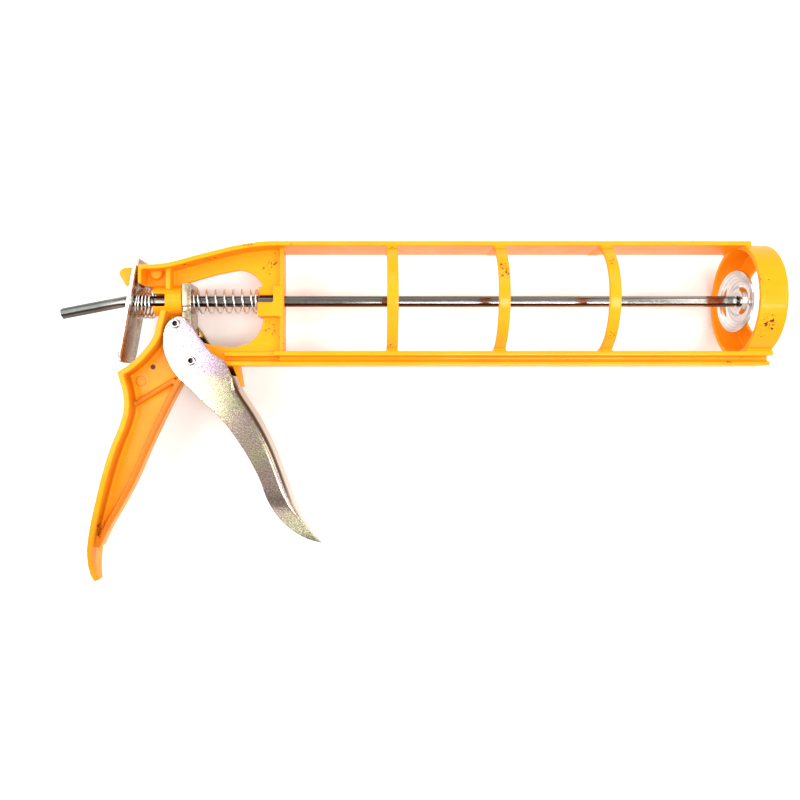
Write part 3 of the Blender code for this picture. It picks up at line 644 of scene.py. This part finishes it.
BARREL_REAR, BARREL_FRONT, BARREL_RADIUS = -59.4, -50.9, 7.6
SADDLE_REAR, SADDLE_FRONT, SADDLE_RADIUS, SADDLE_SLOT = -65.6, -58.8, 7.5, 3.2
UPRIGHT = (-58.4, -56.0, 5.0, 16.6, -9.0, 9.0)
OVAL_AT, OVAL_RADIUS, OVAL_HALF = (-64.2, 13.6), 3.0, 5.5
GUIDE = (-13.2, -1.0, -8.2, 7.2, -6.0, 6.0)
GUIDE_POCKET = (-13.5, -5.4, -1.0, 7.6, WEB_HALF, 7.0)
BOSS_RADIUS, BOSS_HALF = 6.0, 9.4
FRAME_VOXEL, FRAME_PASSES = 0.4, 4


def hoop(x):
    """A half-round band under the cartridge, about the rod's axis."""
    rear, front = x - HOOP_WIDTH / 2, x + HOOP_WIDTH / 2
    profile = [(HOOP_IN, rear), (HOOP_OUT, rear), (HOOP_OUT, front), (HOOP_IN, front)]
    return turned("hoop", profile, sides=64, start=90 - HOOP_REACH, sweep=2 * HOOP_REACH)


def strap(x, side):
    """A hoop's end, which runs on across the inner face of a rail."""
    rear, front = x - HOOP_WIDTH / 2, x + HOOP_WIDTH / 2
    inner, outer = sorted((side * STRAP_IN, side * (RAIL_IN + OVERLAP)))
    return block("strap", rear, front, inner, outer, STRAP_FAR, 1.0)


def tongue_width(y):
    """The rear flange narrows down the handle to a round tongue at its tip."""
    t = min(max((TONGUE_TOP - y) / TONGUE_LENGTH, 0), 1)
    return math.sqrt(1 - TONGUE_LOSS * t ** TONGUE_POWER)


def joined(name, shapes):
    """One mesh of several closed shapes that overlap. Remeshing it makes their union."""
    whole = bmesh.new()
    for shape in shapes:
        whole.from_mesh(shape.data)
        bpy.data.objects.remove(shape, do_unlink=True)
    mesh = bpy.data.meshes.new(name)
    whole.to_mesh(mesh)
    whole.free()
    return link(name, mesh)


def rod_bore():
    """The cutter for the rod's way through the housing."""
    return rod("rod_bore", (0, 0), ROD_BORE, *ROD_BORE_SPAN)


def pivot_bore():
    """The cutter for the trigger's pin."""
    return rod("pivot_bore", PIVOT, PIVOT_BORE, -THROUGH, THROUGH, "Z")


def moulded_frame():
    """The orange frame: handle, housing, back wall, rails, three hoops and the front ring."""
    window = plate("window", WINDOW, -2 * WEB_HALF, 2 * WEB_HALF)
    saddle_slot = block("saddle_slot", SADDLE_REAR - 1, BARREL_REAR, -SADDLE_SLOT, SADDLE_SLOT, 0, THROUGH)
    saddle = rod("saddle", (0, 0), SADDLE_RADIUS, SADDLE_REAR, SADDLE_FRONT)
    barrel = rod("barrel", (0, 0), BARREL_RADIUS, BARREL_REAR, BARREL_FRONT)
    boss = rod("pivot_boss", PIVOT, BOSS_RADIUS, -BOSS_HALF, BOSS_HALF, "Z")
    guide = combine(block("guide", *GUIDE), [rod_bore(), block("guide_pocket", *GUIDE_POCKET)], "DIFFERENCE")
    lip, chamfer = RING_FRONT - LIP_THICK, RING_CHAMFER
    ring_profile = [
        (HOOP_IN, RING_REAR), (HOOP_OUT, RING_REAR), (HOOP_OUT, RING_FRONT - chamfer),
        (HOOP_OUT - chamfer, RING_FRONT), (LIP_IN, RING_FRONT), (LIP_IN, lip), (HOOP_IN, lip)]
    rear_flange = wall("rear_flange", REAR_FLANGE, HANDLE_THICK, FLANGE_HALF)
    back_wall = block("back_wall", -WALL_THICK, 0, -WALL_REACH, WALL_REACH, -WALL_HALF, WALL_HALF)
    web = plate("web", HOUSING, -WEB_HALF, WEB_HALF)
    core_y = BEAM_Y[0] + OVERLAP, -RAIL_IN - OVERLAP
    shapes = [
        combine(web, [window, rod_bore(), pivot_bore()], "DIFFERENCE"),
        wall("top_flange", TOP_FLANGE, TOP_THICK, FLANGE_HALF),
        block("lower_strip", LOWER_RAIL_REAR, LOWER_RAIL_RISE + 1, -RAIL_OUT, -RAIL_IN, -LOWER_RAIL_LOW,
              LOWER_RAIL_LOW),
        block("lower_rail", LOWER_RAIL_RISE, LOWER_RAIL_FRONT, -RAIL_OUT, -RAIL_IN, -FLANGE_HALF,
              FLANGE_HALF),
        block("beam_web", BEAM_REAR + 1, 1, *core_y, -BEAM_WEB_HALF, BEAM_WEB_HALF),
        block("beam_core", -WALL_THICK, BEAM_CORE_FRONT, *core_y, -BEAM_CORE_HALF, BEAM_CORE_HALF),
        block("beam_flange", BEAM_REAR, BEAM_FRONT, *BEAM_Y, -BEAM_HALF, BEAM_HALF),
        combine(back_wall, [rod_bore()], "DIFFERENCE"),
        narrowed(rear_flange, TONGUE_CUTS, tongue_width),
        wall("front_flange", FRONT_FLANGE, HANDLE_THICK, FRONT_HALF),
        wall("brace", BRACE, BRACE_THICK, BRACE_HALF),
        plate("stop_lug", STOP_LUG, -STOP_HALF, STOP_HALF),
        plate("hook", HOOK, -HOOK_HALF, HOOK_HALF),
        block("rear_wall", *REAR_WALL, -FLANGE_HALF, FLANGE_HALF),
        combine(barrel, [rod_bore()], "DIFFERENCE"),
        combine(saddle, [rod_bore(), saddle_slot], "DIFFERENCE"),
        block("upright", *UPRIGHT),
        rod("oval", OVAL_AT, OVAL_RADIUS, -OVAL_HALF, OVAL_HALF, "Z"),
        combine(boss, [pivot_bore()], "DIFFERENCE"),
        guide,
        turned("ring", ring_profile, sides=144),
    ]
    shapes += [hoop(x) for x in HOOP_X]
    shapes += [strap(x, side) for x in HOOP_X for side in (-1, 1)]
    body = moulded(joined("frame", shapes), FRAME_VOXEL, FRAME_PASSES)
    piece("frame", body, "frame", ORANGE, angle=60)


# ---------------------------------------------------------------- rod and piston
ROD_FLATS, ROD_FRONT, ROD_EDGE = 5.0, 228.0, 0.4
ROD_BEND_X, ROD_BEND_RADIUS, ROD_BEND_STEPS, ROD_TAIL = -80.0, 9.0, 8, 32.0
NECK_RADIUS, NECK_LENGTH = 1.7, 3.6
# Corners of (radius, rise) on the riveted head at the neck's end.
NECK_HEAD = [(3.0, 0), (2.9, 0.4), (2.5, 0.8), (1.8, 1.1), (1.0, 1.2), (0, 1.2)]


def push_rod():
    """A hexagonal bar with a bent tail, and a neck with a riveted head that carries the piston."""
    corner = ROD_FLATS / 2 / math.cos(math.pi / 6)
    angles = [k * math.pi / 3 for k in range(6)]
    hexagon = [(corner * math.cos(a), corner * math.sin(a), 0) for a in angles]
    section = link("hexagon", spline(hexagon, True, 1))
    path = [(ROD_FRONT, 0, 0), (ROD_BEND_X, 0, 0)]
    for k in range(1, ROD_BEND_STEPS + 1):
        a = ROD_BEND * k / ROD_BEND_STEPS
        path.append((ROD_BEND_X - ROD_BEND_RADIUS * math.sin(a), -ROD_BEND_RADIUS * (1 - math.cos(a)), 0))
    x, y, z = path[-1]
    path.append((x - ROD_TAIL * math.cos(ROD_BEND), y - ROD_TAIL * math.sin(ROD_BEND), z))
    curve = thread("bar", path)
    curve.bevel_mode, curve.bevel_object = "OBJECT", section
    bar = bevel(settle(link("bar", curve)), ROD_EDGE, angle=50)
    bpy.data.objects.remove(section, do_unlink=True)
    inside, end = ROD_FRONT - 1, ROD_FRONT + NECK_LENGTH
    profile = [(0, inside), (NECK_RADIUS, inside), (NECK_RADIUS, end)]
    profile += [(radius, end + rise) for radius, rise in NECK_HEAD]
    bar = combine(bar, [turned("neck", profile, 48)], "UNION")
    piece("push_rod", bar, "rod", CHROME, angle=30)


def between(p, q, r, s, t):
    """A smooth curve through four values, at a share of the way from the second to the third."""
    slope, curve, twist = r - p, 2 * p - 5 * q + 4 * r - s, 3 * q - p - 3 * r + s
    return 0.5 * (2 * q + slope * t + curve * t * t + twist * t ** 3)


def arc_profile(knots, steps=6):
    """Points along a smooth line through (radius, x) knots."""
    points = []
    padded = [knots[0], *knots, knots[-1]]
    for around in zip(padded, padded[1:], padded[2:], padded[3:]):
        for k in range(steps):
            points.append(tuple(between(*values, k / steps) for values in zip(*around)))
    return points + [knots[-1]]


PISTON_REAR, PISTON_HOLE, PISTON_TILT = 228.65, 2.05, math.radians(8.0)
# Knots of (radius, rise): the disc's rear face out to its rim, its front face back in, and the washer.
DISC_REAR = [
    (5.2, 0.0), (6.2, 0.25), (7.4, 1.5), (8.8, 2.0), (10.6, 1.7), (12.8, 0.5), (14.4, -0.3), (15.4, -0.75)]
DISC_FRONT = [
    (15.75, -0.1), (14.7, 0.7), (12.9, 1.5), (10.7, 2.7), (8.7, 3.0), (7.0, 2.5), (6.0, 1.2), (5.2, 1.0)]
WASHER = [
    (2.1, 1.25), (4.85, 1.25), (5.0, 1.4), (5.0, 1.9), (4.85, 2.05), (2.1, 2.05), (2.0, 1.95), (2.0, 1.35)]


def piston():
    """A dished disc and a washer, loose on the rod's neck and leaning a little."""
    x = PISTON_REAR
    hub = Matrix.Translation((x * MM, 0, 0))
    tilt = hub @ Matrix.Rotation(PISTON_TILT, 4, "Y") @ hub.inverted()
    rear = arc_profile([(PISTON_HOLE, 0.0)] + DISC_REAR)
    front = arc_profile(DISC_FRONT + [(PISTON_HOLE, 1.0)])
    disc = turned("disc", [(r, x + rise) for r, rise in rear + front], 144)
    disc.data.transform(tilt)
    piece("piston_disc", disc, "piston", DISC, angle=60)
    washer = turned("washer", [(r, x + rise) for r, rise in WASHER], 64)
    washer.data.transform(tilt)
    piece("piston_washer", washer, "piston", STEEL)


# ---------------------------------------------------------------- plates
THRUST_BORE, THRUST_NOTCH_Y, THRUST_NOTCH_DEEP = 3.15, (-5.8, -3.3), 1.1
RELEASE_HALF, RELEASE_HALF_THICK, RELEASE_LEAN = 13.8, 0.75, math.radians(10.2)
RELEASE_TOP, RELEASE_CHAMFER = 6.6, 0.8
RELEASE_BOTTOM, RELEASE_ROUND, RELEASE_ROUND_STEPS = -45.6, 6.5, 12
RELEASE_BORE, RELEASE_SLOT = 3.35, (-5.6, 5.6, -2.6, 3.7)
# Turns a sheet that lies flat so that it stands across the rod.
STANDING = Matrix(((0, 0, 1, 0), (0, 1, 0, 0), (-1, 0, 0, 0), (0, 0, 0, 1)))


def thrust_plate():
    """The thick plate that grips the rod when the trigger pushes its lower end."""
    low, high = span("thrust_plate")
    slab = block("thrust", low[0], high[0], low[1], high[1], low[2], high[2])
    rear, front = low[0] - 1, high[0] + 1
    cutters = [
        rod("bore", (0, 0), THRUST_BORE, rear, front),
        block("near_notch", rear, front, *THRUST_NOTCH_Y, high[2] - THRUST_NOTCH_DEEP, high[2] + 1),
        block("far_notch", rear, front, *THRUST_NOTCH_Y, low[2] - 1, low[2] + THRUST_NOTCH_DEEP),
    ]
    slab = bevel(combine(slab, cutters, "DIFFERENCE"), 0.3, 3, 60)
    piece("thrust_plate", slab, "thrust_plate", PLATE)


def release_plate():
    """The leaning thumb plate behind the housing, with a rounded lower end and a slot for its hook."""
    half, inset = RELEASE_HALF - RELEASE_CHAMFER, RELEASE_HALF - RELEASE_ROUND
    outline = [
        (-half, RELEASE_TOP, 0), (half, RELEASE_TOP, 0), (RELEASE_HALF, RELEASE_TOP - RELEASE_CHAMFER, 0)]
    steps = RELEASE_ROUND_STEPS
    for k in range(2 * steps + 1):
        a = math.pi * k / (2 * steps)
        side = inset if k < steps else -inset if k > steps else 0
        height = RELEASE_BOTTOM + RELEASE_ROUND * (1 - math.sin(a))
        outline.append((side + RELEASE_ROUND * math.cos(a), height, 0))
    outline.append((-RELEASE_HALF, RELEASE_TOP - RELEASE_CHAMFER, 0))
    sheet = plate("release", outline, -RELEASE_HALF_THICK, RELEASE_HALF_THICK)
    slot = block("slot", *RELEASE_SLOT, -2, 2)
    bore = rod("bore", (0, -HANG[1] / math.cos(RELEASE_LEAN)), RELEASE_BORE, -2, 2, "Z")
    sheet = bevel(combine(sheet, [slot, bore], "DIFFERENCE"), 0.22, 2, 60)
    hung = Matrix.Translation((HANG[0] * MM, HANG[1] * MM, 0)) @ Matrix.Rotation(-RELEASE_LEAN, 4, "Z")
    sheet.data.transform(hung @ STANDING)
    piece("release_plate", sheet, "release_plate", PLATE)


# ---------------------------------------------------------------- springs
STEPS_PER_TURN, SPRING_START, END_COIL, END_PITCH = 40, 0.6, 0.8, 2.1


def spring(name, rear, front, y, radius, wire, turns, lean):
    """A compression spring along X with closed end coils.

    The wire is given by its radius, and the lean tips the coils at the rear end."""
    pitch, steps = wire * END_PITCH, int(turns * STEPS_PER_TURN)
    first, last = rear + wire + pitch * END_COIL, front - wire - pitch * END_COIL
    points = []
    for k in range(steps + 1):
        turn = k / steps * turns
        if turn < END_COIL:
            x = rear + wire + pitch * turn
        elif turn > turns - END_COIL:
            x = front - wire - pitch * (turns - turn)
        else:
            x = first + (last - first) * (turn - END_COIL) / (turns - 2 * END_COIL)
        angle = turn * 2 * math.pi + SPRING_START
        across = radius * math.cos(angle)
        x += lean * across * (front - x) / (front - rear)
        points.append((x, y + across, radius * math.sin(angle)))
    curve = thread(name, points)
    curve.bevel_depth, curve.bevel_resolution = wire * MM, 4
    coil = piece(name, settle(link(name, curve)), "frame", WIRE, angle=60)
    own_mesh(coil)


# ---------------------------------------------------------------- trigger
TRIGGER_HALF, TRIGGER_SHEET = 11.0, 1.2
TRIGGER_REAR = [
    (-50.5, -8.6), (-55.4, -10.4), (-58.3, -14.4), (-59.2, -20.0), (-58.6, -26.0), (-56.0, -32.6),
    (-52.6, -38.0), (-47.2, -43.3), (-40.8, -49.5), (-30.4, -59.6), (-22.5, -69.8), (-15.6, -81.1),
    (-11.0, -90.4), (-7.6, -99.8), (-2.3, -108.6), (3.6, -114.7), (11.0, -119.6), (18.9, -122.2, 0)]
TRIGGER_FRONT = [
    (13.6, -116.4), (6.2, -104.6), (2.0, -94.0), (-2.2, -82.6), (-7.2, -70.4), (-14.3, -57.4),
    (-21.8, -45.8), (-25.6, -37.4), (-27.2, -33.6), (-29.6, -30.3), (-33.6, -28.0), (-40.8, -19.6),
    (-45.6, -12.6)]
SPINE_TOP = -36.0
SPINE_ROUND, SPINE_ROUND_SPAN = 3.2, (-112.0, -100.0, -44.0, -39.0)
SPINE_INSET, SPINE_FACING = (1.10, 0.46), 0.15
CHANNEL_REAR, CHANNEL_FLOOR, CHANNEL_FLOOR_REAR = -80.0, -123.0, -22.5
TAPER_FROM, TAPER_TIP_HALF, TAPER_CUTS = -90.0, 3.0, (-90, -97, -103, -108, -112, -116, -119)
PIN_RADIUS, PIN_BORE, PIN_HALF, PIN_PLAY = 2.0, 1.25, 13.0, 0.02
SLEEVE_RADIUS, SLEEVE_BORE, SLEEVE_HALF = 2.35, 2.12, 9.3
TRIGGER_VOXEL, TRIGGER_PASSES = 0.25, 3


def taper(half, tip_half):
    """A narrowing from the blade's full width that grows faster towards its tip."""
    length = TAPER_FROM - TRIGGER_REAR[-1][1]

    def law(y):
        return 1 + max(0, (TAPER_FROM - y) / length) ** 2 * (tip_half / half - 1)
    return law


def rounded_spine(thing, half, radius, segments=6):
    """Rolls the blade's front edges in, as a bend of the given radius in the sheet does."""
    tip, blade, neck, head = SPINE_ROUND_SPAN
    shape = bmesh.new()
    shape.from_mesh(thing.data)
    for k in range(segments):
        height = half - radius + radius * math.sin(math.pi / 2 * k / segments)
        for z in (-height, height):
            sliced(shape, (0, 0, z), (0, 0, 1))
    shape.normal_update()
    moves = []
    for corner in shape.verts:
        rise = min((abs(corner.co.z) / MM - half + radius) / radius, 1)
        sides = [f.normal for f in corner.link_faces if abs(f.normal.z) < 0.5]
        if rise <= 0 or not sides:
            continue
        outward = sum(sides, sides[0] * 0).normalized()
        y = corner.co.y / MM
        share = min(max(min((y - tip) / (blade - tip), (head - y) / (head - neck)), 0), 1)
        if outward.x > SPINE_FACING and share > 0:
            moves.append((corner, outward * share * radius * (1 - math.sqrt(1 - rise * rise))))
    for corner, move in moves:
        corner.co -= move * MM
    shape.to_mesh(thing.data)
    shape.free()
    return thing


def channel():
    """The trigger's head and blade, pressed as a channel that is open to the rear."""
    half, inner_half, steps = TRIGGER_HALF, TRIGGER_HALF - TRIGGER_SHEET, 6
    outline = TRIGGER_REAR + TRIGGER_FRONT
    body = rounded_spine(plate("body", outline, -half, half, steps), half, SPINE_ROUND)
    body = narrowed(body, TAPER_CUTS, taper(half, TAPER_TIP_HALF))
    dx, dy = SPINE_INSET
    spine = [(x - dx, y - dy) for x, y in TRIGGER_FRONT if y < SPINE_TOP]
    foot = spine[0][0] - 2
    inner = [(*spine[0], 0)] + spine[1:-1] + [(*spine[-1], 0)]
    inner += [(0, SPINE_TOP, 0), (0, 0, 0), (CHANNEL_REAR, 0, 0), (CHANNEL_REAR, PIVOT[1] * 2, 0)]
    inner += [(CHANNEL_FLOOR_REAR, CHANNEL_FLOOR, 0), (foot, CHANNEL_FLOOR, 0)]
    hollow = rounded_spine(plate("hollow", inner, -inner_half, inner_half, steps), inner_half,
                           SPINE_ROUND - TRIGGER_SHEET)
    hollow = narrowed(hollow, TAPER_CUTS, taper(inner_half, TAPER_TIP_HALF - TRIGGER_SHEET))
    holes = [rod("hole", at, PIN_RADIUS + PIN_PLAY, -THROUGH, THROUGH, "Z") for at in (PIVOT, PUSHER)]
    shell = combine(combine(body, [hollow], "DIFFERENCE"), holes, "DIFFERENCE")
    shell = moulded(shell, TRIGGER_VOXEL, TRIGGER_PASSES)
    piece("trigger", shell, "trigger", ZINC, angle=60)


def tube(name, at, radius, bore, half):
    """An upright tube."""
    outside = rod(name, at, radius, -half, half, "Z")
    return combine(outside, [rod("bore", at, bore, -THROUGH, THROUGH, "Z")], "DIFFERENCE")


def pins():
    """The trigger's two hollow pins, and the sleeve that rolls on the one that pushes."""
    for name, at in (("pivot_pin", PIVOT), ("pusher_pin", PUSHER)):
        pin = bevel(tube(name, at, PIN_RADIUS, PIN_BORE, PIN_HALF), 0.25)
        piece(name, pin, "trigger", STEEL)
    sleeve = tube("sleeve", PUSHER, SLEEVE_RADIUS, SLEEVE_BORE, SLEEVE_HALF)
    piece("pusher_sleeve", sleeve, "pusher_sleeve", STEEL)


moulded_frame()
push_rod()
piston()
thrust_plate()
release_plate()
channel()
pins()
spring("return_spring", rear=-45.7, front=-13.5, y=0.0, radius=6.0, wire=0.45, turns=8.3,
       lean=0.0)
spring("release_spring", rear=-74.4, front=-65.9, y=-1.2, radius=7.1, wire=0.45, turns=5.0,
       lean=0.18)


# ---------------------------------------------------------------- camera, floor and light
CAMERA_FOOT, CAMERA_HEIGHT, CAMERA_SHIFT, CAMERA_LENS = (43.1, -50.0), 406.0, 0.0375, 36.0
FLOOR_METRES = 8.0
KEY_UP, KEY_COLOUR = (-0.417, 0.909, 0), (1.0, 0.99, 0.97)
UP, WHITE = (0, 1, 0), (1, 1, 1)
# Each light's place and target on the gun, its width and height, its watts, its upward side and its colour.
BOXES = [
    ("key", (-558, -50, 1000), (-50, -10, 0), 600, 352, 4.0, KEY_UP, KEY_COLOUR),
    ("strip", (746, -293, 1000), (235, -6, 28), 240, 90, 1.0, UP, WHITE),
    ("overhead", (520, -270, 1700), (0, 0, 0), 700, 480, 18.0, UP, WHITE),
    ("left", (-1200, 250, 1150), (0, 0, 0), 1100, 800, 13.0, UP, WHITE),
    ("right", (1400, 150, 1050), (60, 0, 0), 1100, 800, 9.0, UP, WHITE),
    ("above", (50, 950, 1150), (60, 0, 0), 1200, 700, 7.0, UP, WHITE),
    ("below", (50, -1200, 1150), (60, 0, 0), 1200, 700, 3.0, UP, WHITE)]
SKY_COLOUR, SKY_STRENGTH = (0.985, 1.0, 0.975, 1), 0.78


def aimed(thing, place, target, up=UP):
    """Puts a camera or light at a place of the gun's axes, facing a target."""
    place, target = Vector(place), Vector(target)
    back = (place - target).normalized()
    right = Vector(up).cross(back).normalized()
    turn = Matrix((right, back.cross(right), back)).transposed().to_4x4()
    thing.matrix_world = Matrix.Translation(ORIGIN + place * MM) @ turn
    bpy.context.scene.collection.objects.link(thing)
    return thing


def soft_box(name, place, target, wide, high, watts, up, colour):
    """A rectangular light."""
    light = bpy.data.lights.new(name, "AREA")
    light.shape, light.size, light.size_y = "RECTANGLE", wide * MM, high * MM
    light.energy, light.color = watts, colour
    return aimed(bpy.data.objects.new(name, light), place, target, up)


camera = bpy.data.cameras.new("camera")
camera.sensor_width, camera.lens = 36.0, CAMERA_LENS
camera.clip_start, camera.clip_end = 0.01, 20.0
camera.shift_x = CAMERA_SHIFT
holder = bpy.data.objects.new("camera", camera)
bpy.context.scene.camera = aimed(holder, (*CAMERA_FOOT, CAMERA_HEIGHT), (*CAMERA_FOOT, 0))

bpy.ops.mesh.primitive_plane_add(size=FLOOR_METRES, location=(0, 0, 0))
floor = bpy.context.object
floor.name = "floor"
floor.data.materials.append(floor_white())

[soft_box(*box) for box in BOXES]
world = bpy.data.worlds.new("studio")
bpy.context.scene.world = world
world.use_nodes = True
sky = world.node_tree.nodes["Background"]
sky.inputs["Color"].default_value = SKY_COLOUR
sky.inputs["Strength"].default_value = SKY_STRENGTH
bpy.context.scene.view_settings.view_transform = "Standard"
